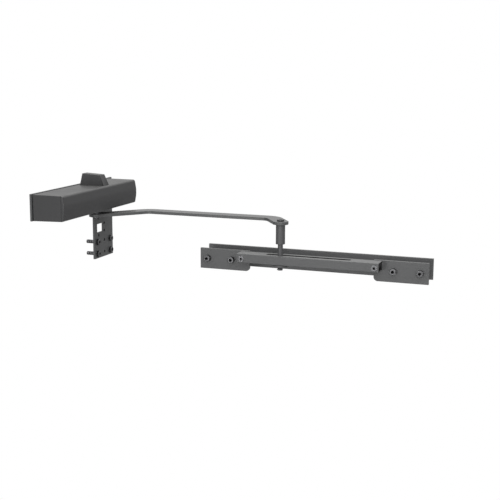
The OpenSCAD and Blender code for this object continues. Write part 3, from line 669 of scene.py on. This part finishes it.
def softened(node):
    """A solid with its sharp edges rounded off, and the sockets of screws marked for painted
    shade.
    """
    setting, share, steps = ROUNDINGS[node]
    bm = merged(node)
    round_off(bm, sharp_edges(bm), getattr(settings().edges, setting) * share, steps)
    obj = hand_over(piece(node + "_made", bm), node)
    return mark_sockets(obj, node) if node in HEADS else obj


def soften_all(*nodes):
    for node in nodes:
        softened(node)


# ---- geometry node trees ----

def growing_group(name, sizes):
    """An empty tree that grows a shape, pointing up, on each of its points."""
    return node_group(name, "GeometryNodeTree", {
        "Geometry": GEOMETRY, **sizes, "Turn": (0.0, 0.0, 0.0), "Material": MATERIAL},
        {"Geometry": GEOMETRY})


def grow_on_points(b, gin, gout, shape):
    """Ends a tree: the shape on its points, turned, made real and given its finish."""
    turn = b.out("FunctionNodeEulerToRotation", {0: gin["Turn"]})
    placed = b.out("GeometryNodeInstanceOnPoints", {
        "Points": gin["Geometry"], "Instance": shape, "Rotation": turn})
    real = b.out("GeometryNodeRealizeInstances", {0: placed})
    painted = b.out("GeometryNodeSetMaterial", {"Geometry": real, "Material": gin["Material"]})
    b.link(painted, gout["Geometry"])
    return b.tree


def lifted(b, shape, z):
    """A shape moved up by a height that comes from a socket or a number."""
    up = b.out("ShaderNodeCombineXYZ", {"Z": z})
    return b.out("GeometryNodeTransform", {"Geometry": shape, "Translation": up})


def rod(b, radius, low, high, sides=48):
    """A cylinder between two heights."""
    body = b.out("GeometryNodeMeshCylinder", {"Vertices": sides, "Radius": radius,
                                              "Depth": b.minus(high, low)})
    return lifted(b, body, b.times(b.plus(high, low), 0.5))


def cone(b, bottom, top, tall, sides):
    return b.out("GeometryNodeMeshCone", {"Vertices": sides, "Radius Bottom": bottom,
                                          "Radius Top": top, "Depth": tall})


def helix(b, turns, tall, radius, steps):
    return b.out("GeometryNodeCurveSpiral", {
        "Resolution": steps, "Rotations": turns, "Height": tall,
        "Start Radius": radius, "End Radius": radius})


def wire_along(b, path, radius, sides):
    """A wire that follows a path, closed at its ends."""
    outline = b.out("GeometryNodeCurvePrimitiveCircle", {"Resolution": sides, "Radius": radius})
    return b.out("GeometryNodeCurveToMesh", {"Curve": path, "Profile Curve": outline,
                                             "Fill Caps": True})


def joined(b, *shapes):
    whole = b.add("GeometryNodeJoinGeometry")
    for shape in shapes:
        b.link(shape, whole.inputs[0])
    return whole.outputs[0]


def cut_out(b, shape, tool, overlaps=False):
    """A shape less a tool; overlaps says that the shape is made of pieces that overlap."""
    cut = b.add("GeometryNodeMeshBoolean", {0: shape, 1: tool}, operation="DIFFERENCE",
                solver="EXACT")
    cut.inputs["Self Intersection"].default_value = overlaps
    return cut.outputs[0]


def fluted_head(b, gin):
    """A screw head from its seat up, with grooves round it, a chamfer and a hexagon socket."""
    chamfer_slope, key_past_head = 1.2, 0.002
    rim = b.minus(gin["Head Height"], gin["Head Edge"])
    barrel = rod(b, gin["Head Radius"], 0.0, rim, sides=b.times(gin["Flutes"], 2.0))
    odd = b.maths("MODULO", b.out("GeometryNodeInputIndex"), 2.0)
    level = b.out("ShaderNodeVectorMath", {
        0: b.out("GeometryNodeInputPosition"), 1: (1.0, 1.0, 0.0)}, operation="MULTIPLY")
    share = b.times(odd, b.over(gin["Flute Depth"], gin["Head Radius"]))
    inward = b.out("ShaderNodeVectorMath", {0: level, "Scale": b.times(share, -1.0)},
                   operation="SCALE")
    fluted = b.out("GeometryNodeSetPosition", {"Geometry": barrel, "Offset": inward})
    brim = b.minus(gin["Head Radius"], gin["Flute Depth"])
    crest = b.minus(brim, b.times(gin["Head Edge"], chamfer_slope))
    crown = cone(b, brim, crest, gin["Head Edge"], sides=72)
    key = rod(b, b.times(gin["Socket Flats"], 0.5 / CORNER_TO_FLAT),
              b.minus(gin["Head Height"], gin["Socket Depth"]),
              b.plus(gin["Head Height"], key_past_head), sides=6)
    return cut_out(b, joined(b, fluted, lifted(b, crown, rim)), key, overlaps=True)


def threaded_shank(b, gin):
    """A screw's shank from its seat down, the thinner core below it and the ridge round that."""
    groove_share, ridge_share = 0.35, 0.42  # of the thread's pitch
    core_in = 0.0002
    tip = b.times(gin["Shank Length"], -1.0)
    thread_top = b.plus(tip, gin["Thread Length"])
    shank = rod(b, gin["Shank Radius"], thread_top, 0.0)
    core = rod(b, b.minus(gin["Thread Radius"], b.times(gin["Thread Pitch"], groove_share)),
               b.plus(tip, core_in),
               b.plus(tip, b.plus(gin["Thread Length"], 2 * core_in)))
    ridge = b.times(gin["Thread Pitch"], ridge_share)
    run = b.minus(gin["Thread Length"], b.times(ridge, 2.0))
    path = helix(b, b.over(run, gin["Thread Pitch"]), run, b.minus(gin["Thread Radius"], ridge),
                 steps=24)
    thread = lifted(b, wire_along(b, path, ridge, sides=4), b.plus(tip, ridge))
    return shank, core, thread


def socket_screw_tree():
    """Socket screws: a fluted head with a hexagon socket, a shank and its thread."""
    b, gin, gout = growing_group("socket_screws", {
        "Head Radius": 0.0065, "Head Height": 0.008, "Head Edge": 0.0007, "Flute Depth": 0.0002,
        "Socket Flats": 0.006, "Socket Depth": 0.0044, "Shank Radius": M8_RADIUS,
        "Shank Length": 0.02, "Thread Length": 0.01, "Thread Radius": M8_RADIUS,
        "Thread Pitch": 0.00125, "Flutes": 36})
    return grow_on_points(b, gin, gout, joined(b, fluted_head(b, gin), *threaded_shank(b, gin)))


def hex_nut_tree():
    """Hexagon nuts, their corners chamfered on both faces."""
    b, gin, gout = growing_group("hex_nuts", {
        "Across Flats": M8_FLATS, "Height": 0.0064, "Bore Radius": NUT_BORE})
    face_share, cone_slope, drill_past = 0.985, 1.9, 0.002
    tall = gin["Height"]
    half = b.times(gin["Across Flats"], 0.5)
    block = rod(b, b.over(half, CORNER_TO_FLAT), 0.0, tall, sides=6)
    tight = b.times(half, face_share)
    wide = b.plus(tight, b.times(tall, cone_slope))
    down, up = cone(b, wide, tight, tall, sides=64), cone(b, tight, wide, tall, sides=64)
    chamfered = b.add("GeometryNodeMeshBoolean", operation="INTERSECT", solver="EXACT")
    for shape in (block, down, up):
        b.link(shape, chamfered.inputs[1])
    drill = rod(b, gin["Bore Radius"], -drill_past, b.plus(tall, drill_past))
    return grow_on_points(b, gin, gout, cut_out(b, chamfered.outputs[0], drill))


def coil_spring_tree():
    """A compression spring that starts at its point, with a closed turn at each end."""
    b, gin, gout = growing_group("coil_spring", {
        "Outer Radius": 0.013, "Wire Radius": 0.0025, "Length": 0.1, "Coils": 11.0, "Sides": 12})
    wire = gin["Wire Radius"]
    mean = b.minus(gin["Outer Radius"], wire)
    closed = b.times(wire, 2.0)
    free = b.minus(gin["Length"], b.times(closed, 3.0))
    low = b.times(closed, 1.5)
    # Turns, height and start of the free part and of the closed turn at each end
    runs = ((gin["Coils"], free, low), (1.0, closed, wire), (1.0, closed, b.plus(low, free)))
    paths = joined(b, *(lifted(b, helix(b, turns, tall, mean, steps=32), start)
                        for turns, tall, start in runs))
    return grow_on_points(b, gin, gout, wire_along(b, paths, wire, gin["Sides"]))


def grown(node, maker, points, values, smooth_angle=35.0):
    """A plain mesh that a tree grows on points in a node's place."""
    name = node + "_made"
    mesh = bpy.data.meshes.new(name + "_points")
    mesh.from_pydata([tuple(p) for p in points], [], [])
    obj = linked_object(name, mesh)
    tree = once(maker)
    modifier = obj.modifiers.new("grow", "NODES")
    modifier.node_group = tree
    values = {**values, "Material": finish_of(node)}
    for item in tree.interface.items_tree:
        if item.item_type == "SOCKET" and item.in_out == "INPUT" and item.name in values:
            modifier[item.identifier] = values[item.name]
    obj.update_tag()
    made_plain(obj)
    if len(obj.data.polygons) == 0:
        raise RuntimeError(name + ": the tree grew nothing")
    smooth(obj.data, smooth_angle)
    return obj


def grown_screws(node, turn, thread_radius, thread_length):
    """Socket screws in the places of a node's solids."""
    axis, side, head, head_radius, flats, depth = HEADS[node]
    f = settings().fasteners
    seats, shank_length = [], 0.0
    for low, high in islands(node):
        seat = (low + high) / 2
        seat[axis] = (low[axis] + head) if side < 0 else (high[axis] - head)
        seats.append(seat)
        shank_length = high[axis] - low[axis] - head
    screws = grown(node, socket_screw_tree, seats, {
        "Head Radius": head_radius, "Head Height": head, "Head Edge": f.head_edge,
        "Flute Depth": f.flute_depth, "Flutes": f.flutes, "Socket Flats": flats,
        "Socket Depth": depth, "Shank Radius": M8_RADIUS, "Shank Length": shank_length,
        "Thread Radius": thread_radius, "Thread Length": thread_length,
        "Thread Pitch": f.thread_pitch, "Turn": turn})
    # Painted shade in the sockets and on the sides of the heads
    return hand_over(mark_sockets(screws, node), node)


# ---- operators: one for each piece or group of like pieces ----

class CLOSER_OT_mounting_plate(Operator):
    """Rounds the cut edges of the L-shaped plate"""
    bl_idname = "closer.mounting_plate"
    bl_label = "Mounting plate"

    def execute(self, context):
        # Where the leg ends, and a box round its window, whose cut edges get no painted shade
        leg_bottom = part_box("mounting_plate")[0][Z]
        leg_top, half_leg, rim = 0.08, 0.04, 0.002
        window_low, window_high = (-0.031, 0.030), (-0.0012, 0.052)
        flat_from = 0.97

        # Painted shade on the walls of the spare holes, standing in for the shade inside them
        def in_spare_hole(face):
            y, z = face.center[Y], face.center[Z]
            on_edge = abs(y) > half_leg - rim or z < leg_bottom + rim or z > leg_top
            in_window = all(a < v < c for a, v, c in zip(window_low, (y, z), window_high))
            on_flat = abs(face.normal.x) > flat_from
            return 0.0 if on_edge or in_window or on_flat else 1.0

        mark_painted_shade(softened("mounting_plate"), in_spare_hole)
        return {"FINISHED"}


class CLOSER_OT_cover(Operator):
    """Softens the cover's ridges and the rims of its two end caps"""
    bl_idname = "closer.cover"
    bl_label = "Cover and end caps"

    def execute(self, context):
        edges = settings().edges
        low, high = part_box("cover")
        front = high[X]
        tall = high[Z] - low[Z]
        level, shortest = 1e-6, 1e-4  # rise and length of an edge that counts as a ridge

        def on_ridge(e):
            a, b = (v.co for v in e.verts)
            return (all(abs(v.x - front) < 3 * ON_FACE for v in (a, b))
                    and abs(a.z - b.z) < level and abs(a.y - b.y) > shortest)

        for node in ("cover", "near_end_cap", "far_end_cap"):
            bm = merged(node)
            round_off(bm, [e for e in bm.edges if on_ridge(e)], edges.ridge, segments=5)
            if node == "cover":
                round_off(bm, sharp_edges(bm, degrees=40.0), edges.fine, segments=1)
            else:
                cap_low, cap_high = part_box(node)
                out = cap_low[Y] if node == "near_end_cap" else cap_high[Y]
                rim = sharp_edges(bm, 40.0, lambda e: all(abs(v.co.y - out) < ON_FACE
                                                          for v in e.verts))
                round_off(bm, rim, edges.cap, segments=4)
            obj = piece(node + "_made", bm, smooth_angle=50.0)
            if node != "cover":
                carve(obj, (front - edges.seam_in, out, (low[Z] + high[Z]) / 2),
                      (edges.seam, 2 * edges.seam, 2 * tall))
            hand_over(obj, node)
        return {"FINISHED"}


class CLOSER_OT_hood(Operator):
    """Softens the edges of the hood over the pinion"""
    bl_idname = "closer.hood"
    bl_label = "Pinion hood"

    def execute(self, context):
        low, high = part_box("pinion_hood")
        middle = (low[Z] + high[Z]) / 2

        def outer(e):
            return e.is_convex and max(v.co.z for v in e.verts) > middle

        bm = merged("pinion_hood")
        round_off(bm, sharp_edges(bm, 10.0, outer), settings().edges.hood, segments=4)
        hand_over(piece("pinion_hood_made", bm, smooth_angle=60.0), "pinion_hood")
        return {"FINISHED"}


class CLOSER_OT_cylinder(Operator):
    """Finishes the housing, the plugs, the bearings and the seals"""
    bl_idname = "closer.cylinder"
    bl_label = "Housing and what it holds"

    def execute(self, context):
        soften_all("housing", "spring_end_plug", "valve_end_plug", "upper_bearing",
                   "lower_bearing", "plug_seals", "shaft_seals", "piston_seals")
        return {"FINISHED"}


class CLOSER_OT_piston(Operator):
    """Finishes the piston, its check valve and the pinion shaft"""
    bl_idname = "closer.piston"
    bl_label = "Piston and pinion"

    def execute(self, context):
        refinished("piston", "check_valve", "pinion_shaft")
        return {"FINISHED"}


class CLOSER_OT_spring(Operator):
    """Winds the closing spring"""
    bl_idname = "closer.spring"
    bl_label = "Closing spring"

    def execute(self, context):
        spring = settings().spring
        low, high = (Vector(v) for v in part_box("closing_spring"))
        start = Vector(((low.x + high.x) / 2, low.y, (low.z + high.z) / 2))
        long = high.y - low.y
        room = 0.0001
        obj = grown("closing_spring", coil_spring_tree, [start], {
            "Outer Radius": (high.x - low.x) / 2 - room, "Wire Radius": spring.wire,
            "Length": long, "Coils": spring.coils, "Sides": spring.sides,
            "Turn": TO_PLUS_Y}, smooth_angle=60.0)
        hand_over(obj, "closing_spring")
        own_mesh(obj)
        return {"FINISHED"}


class CLOSER_OT_valves(Operator):
    """Finishes the two regulating valves"""
    bl_idname = "closer.valves"
    bl_label = "Regulating valves"

    def execute(self, context):
        soften_all("closing_valve", "latch_valve")
        return {"FINISHED"}


class CLOSER_OT_arm(Operator):
    """Rounds the edges of the cranked arm and its washer"""
    bl_idname = "closer.arm"
    bl_label = "Cranked arm"

    def execute(self, context):
        soften_all("arm_bar", "arm_washer")
        return {"FINISHED"}


class CLOSER_OT_pivot(Operator):
    """Rounds the pivot pin, its screw, the flanged washer and the split pin"""
    bl_idname = "closer.pivot"
    bl_label = "Pivot pin"

    def execute(self, context):
        soften_all("pivot_pin", "pin_screw", "flange_washer", "split_pin")
        return {"FINISHED"}


class CLOSER_OT_rail(Operator):
    """Rounds the guide rail's tube and finishes what runs in it"""
    bl_idname = "closer.rail"
    bl_label = "Guide rail"

    def execute(self, context):
        edges = settings().edges
        low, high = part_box("guide_rail")
        shortest, skin, end_on_from = 0.02, 0.0006, 0.9

        def long_corner(e):
            a, b = (v.co for v in e.verts)
            return abs(a.x - b.x) > shortest and all(
                min(abs(v[i] - low[i]), abs(v[i] - high[i])) < ON_FACE
                for v in (a, b) for i in (Y, Z))

        # Painted shade on the faces inside the tube and its slot
        def inside(face):
            within = all(low[i] + skin < face.center[i] < high[i] - skin for i in (Y, Z))
            at_end = abs(face.normal.x) > end_on_from
            return 1.0 if within and not at_end else 0.0

        bm = merged("guide_rail")
        round_off(bm, sharp_edges(bm, 60.0, long_corner), edges.rail, segments=5)
        round_off(bm, sharp_edges(bm, degrees=60.0), edges.rail_cut, segments=2)
        tube = piece("guide_rail_made", bm, smooth_angle=50.0)
        mark_painted_shade(hand_over(tube, "guide_rail"), inside)
        soften_all("slide_shoe", "rail_spacers")
        return {"FINISHED"}


class CLOSER_OT_wing_plates(Operator):
    """Rounds the cut edges of the wing plates and the counter plate"""
    bl_idname = "closer.wing_plates"
    bl_label = "Wing plates and counter plate"

    def execute(self, context):
        soften_all("left_wing_plate", "right_wing_plate", "counter_plate")
        return {"FINISHED"}


class CLOSER_OT_fasteners(Operator):
    """Grows the socket screws and nuts, and softens the small screws and washers"""
    bl_idname = "closer.fasteners"
    bl_label = "Screws, nuts and washers"

    def execute(self, context):
        grown_screws("gate_bolts", TO_MINUS_Y, thread_radius=0.00389, thread_length=0.0198)
        grown_screws("post_bolts", TO_PLUS_X, thread_radius=0.00399, thread_length=0.0208)
        boxes = islands("gate_nuts")
        points = [Vector(((low.x + high.x) / 2, low.y, (low.z + high.z) / 2))
                  for low, high in boxes]
        low, high = boxes[0]
        nuts = grown("gate_nuts", hex_nut_tree, points, {
            "Across Flats": M8_FLATS, "Height": high.y - low.y, "Bore Radius": NUT_BORE,
            "Turn": TO_PLUS_Y})
        hand_over(nuts, "gate_nuts")
        soften_all("gate_washers", "rail_screws", "housing_screws", "cover_screws", "arm_screw")
        return {"FINISHED"}


# ---- the stage ----

def place_camera(scene, st):
    """Stands the camera in its place, turned left, looking down and leaning as the stage says."""
    camera = bpy.data.cameras.new("camera")
    camera.lens = st.lens
    camera.sensor_width = SENSOR_WIDTH
    camera.clip_end = 60.0
    scene.camera = linked_object("camera", camera)
    az, el = st.azimuth, st.elevation
    ahead = Vector((-math.sin(az) * math.cos(el), math.cos(az) * math.cos(el), -math.sin(el)))
    level = ahead.cross(Vector((0, 0, 1))).normalized()
    drop = ahead.cross(level)
    lean, stay = math.sin(st.roll), math.cos(st.roll)
    right = level * stay + drop * lean
    down = -level * lean + drop * stay
    turn = Matrix((right, -down, -ahead)).transposed()
    scene.camera.matrix_world = Matrix.Translation(Vector(st.camera_place)) @ turn.to_4x4()


def lay_floor(st):
    """A wide pale floor that the camera sees as white, and doesn't see from below."""
    bm = bmesh.new()
    bmesh.ops.create_circle(bm, cap_ends=True, segments=96, radius=14.0,
                            matrix=Matrix.Translation((CENTRE.x, CENTRE.y, st.floor_z)))
    mesh = filled_mesh("floor", bm)
    mesh.shade_smooth()
    mat, b, skin = start_material("pale_floor", st.floor)
    skin.inputs["Base Color"].default_value = rgba(st.floor)
    skin.inputs["Roughness"].default_value = 0.9
    glow = b.out("ShaderNodeEmission", {"Strength": 1.0})
    ray = b.add("ShaderNodeLightPath").outputs["Is Camera Ray"]
    seen = b.out("ShaderNodeMixShader", {0: ray, 1: skin.outputs[0], 2: glow})
    below = b.add("ShaderNodeNewGeometry").outputs["Backfacing"]
    clear = b.out("ShaderNodeBsdfTransparent")
    whole = b.out("ShaderNodeMixShader", {0: below, 1: seen, 2: clear})
    b.link(whole, b.tree.get_output_node("ALL").inputs["Surface"])
    mesh.materials.append(mat)
    linked_object("floor", mesh)


def light_sky(scene, st):
    """A white sky, soft at the sides and brighter above, that the camera sees as plain white."""
    world = bpy.data.worlds.new("world")
    scene.world = world
    world.use_nodes = True
    b = Nodes(world.node_tree)
    sky = b.tree.nodes["Background"]
    ray = b.add("ShaderNodeLightPath").outputs["Is Camera Ray"]
    way = b.add("ShaderNodeTexCoord").outputs["Generated"]
    height = b.add("ShaderNodeSeparateXYZ", {0: way}).outputs["Z"]
    soft = b.out("ShaderNodeMapRange", {"Value": height, "From Min": 0.0, "From Max": 0.6,
                                        "To Min": st.ambient, "To Max": st.sky})
    strength = b.out("ShaderNodeMapRange", {"Value": ray, "To Min": soft, "To Max": 1.0})
    b.link(strength, sky.inputs["Strength"])
    sky.inputs["Color"].default_value = (1.0, 1.0, 1.0, 1.0)


def hang_lamps():
    """Hangs the square lamps and turns them towards the object."""
    for name, (place, size, watts) in LAMPS.items():
        lamp = bpy.data.lights.new(name, "AREA")
        lamp.shape, lamp.size, lamp.energy = "SQUARE", size, watts
        obj = linked_object(name, lamp)
        obj.location = place
        obj.rotation_euler = (CENTRE - Vector(place)).to_track_quat("-Z", "Y").to_euler()


class CLOSER_OT_stage(Operator):
    """Sets the camera, the pale floor and the soft lights"""
    bl_idname = "closer.stage"
    bl_label = "Stage"

    def execute(self, context):
        scene, st = bpy.context.scene, settings().stage
        place_camera(scene, st)
        lay_floor(st)
        light_sky(scene, st)
        hang_lamps()
        scene.view_settings.view_transform = "Standard"
        return {"FINISHED"}


# ---- panel and registration ----

class CLOSER_PT_panel(Panel):
    """Lists the closer's pieces and settings"""
    bl_idname = "CLOSER_PT_panel"
    bl_label = "Overhead closer"
    bl_space_type = "VIEW_3D"
    bl_region_type = "UI"
    bl_category = "Closer"

    def draw(self, context):
        layout = self.layout
        for op in OPERATORS:
            layout.operator(op.bl_idname)
        for part in ("finish", "edges", "fasteners", "spring", "stage"):
            box = layout.box()
            box.label(text=part.capitalize())
            group = getattr(context.scene.closer_settings, part)
            for key in group.bl_rna.properties.keys():
                if key not in {"rna_type", "name"}:
                    box.prop(group, key)


OPERATORS = (CLOSER_OT_mounting_plate, CLOSER_OT_cover, CLOSER_OT_hood, CLOSER_OT_cylinder,
             CLOSER_OT_piston, CLOSER_OT_spring, CLOSER_OT_valves, CLOSER_OT_arm,
             CLOSER_OT_pivot, CLOSER_OT_rail, CLOSER_OT_wing_plates, CLOSER_OT_fasteners,
             CLOSER_OT_stage)
CLASSES = (CloserFinish, CloserEdges, CloserFasteners, CloserSpring, CloserStage, CloserSettings,
           *OPERATORS, CLOSER_PT_panel)


def register():
    for cls in CLASSES:
        bpy.utils.register_class(cls)
    bpy.types.Scene.closer_settings = PointerProperty(type=CloserSettings)


def unregister():
    del bpy.types.Scene.closer_settings
    for cls in reversed(CLASSES):
        bpy.utils.unregister_class(cls)


def main():
    register()
    for op in OPERATORS:
        family, name = op.bl_idname.split(".")
        if getattr(getattr(bpy.ops, family), name)() != {"FINISHED"}:
            raise RuntimeError(op.bl_label + " did not finish")
    bpy.context.view_layer.update()


if __name__ == "__main__":
    main()
